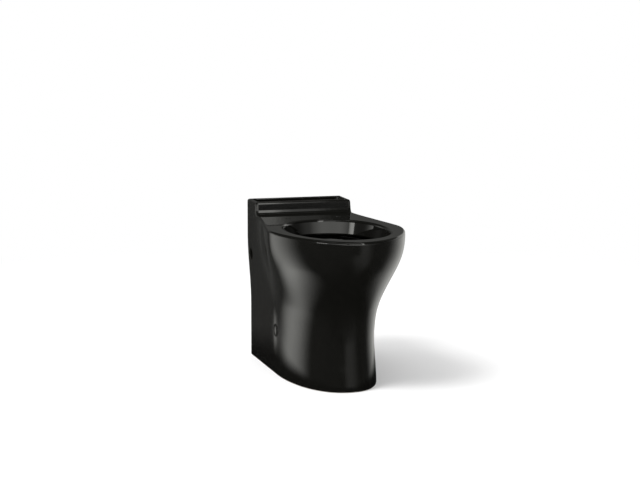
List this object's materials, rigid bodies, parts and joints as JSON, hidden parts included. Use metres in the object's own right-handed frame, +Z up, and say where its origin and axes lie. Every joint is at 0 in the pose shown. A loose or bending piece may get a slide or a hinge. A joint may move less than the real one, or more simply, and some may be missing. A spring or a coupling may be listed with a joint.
{
  "type": "close coupled toilet",
  "caption": "Skirted comfort-height toilet bowl in black glazed china, with a shelf for a close coupled tank and concealed floor fixings.",
  "frame": {"origin": "on the floor, at the middle of the bowl's bounding box", "axes": "+X to the right of someone facing the front of the bowl, -Y towards that person, +Y towards the wall, +Z up"},
  "size_m": [0.3682, 0.7049, 0.453],
  "materials": {
    "glaze": "glossy black vitreous glaze",
    "cap_plastic": "glossy black moulded plastic",
    "screw_steel": "bright zinc plated",
    "washer_plastic": "natural nylon",
    "seal_rubber": "matt black rubber",
    "bracket_steel": "galvanised sheet",
    "adapter_plastic": "moulded dark grey plastic",
    "wax": "soft amber wax",
    "closet_brass": "plain brass"
  },
  "bodies": {
    "bowl": {"china_bowl": "glaze", "side_screw_left": "screw_steel", "side_washer_left": "washer_plastic", "bracket_pad_left": "seal_rubber", "floor_bracket_left": "bracket_steel", "bracket_nut_left": "screw_steel", "side_screw_right": "screw_steel", "side_washer_right": "washer_plastic", "bracket_pad_right": "seal_rubber", "floor_bracket_right": "bracket_steel", "bracket_nut_right": "screw_steel", "outlet_adapter": "adapter_plastic", "outlet_gasket": "seal_rubber", "wax_ring": "wax", "closet_bolts": "closet_brass", "closet_washers": "closet_brass", "closet_nuts": "closet_brass"},
    "left_cap": {"side_cap_left": "cap_plastic"},
    "right_cap": {"side_cap_right": "cap_plastic"}
  },
  "joints": [
    {"name": "left_cap_pull", "type": "slide", "parent": "bowl", "child": "left_cap", "axis": [-1, 0, 0], "range_m": [0, 0.03]},
    {"name": "right_cap_pull", "type": "slide", "parent": "bowl", "child": "right_cap", "axis": [1, 0, 0], "range_m": [0, 0.03]}
  ]
}
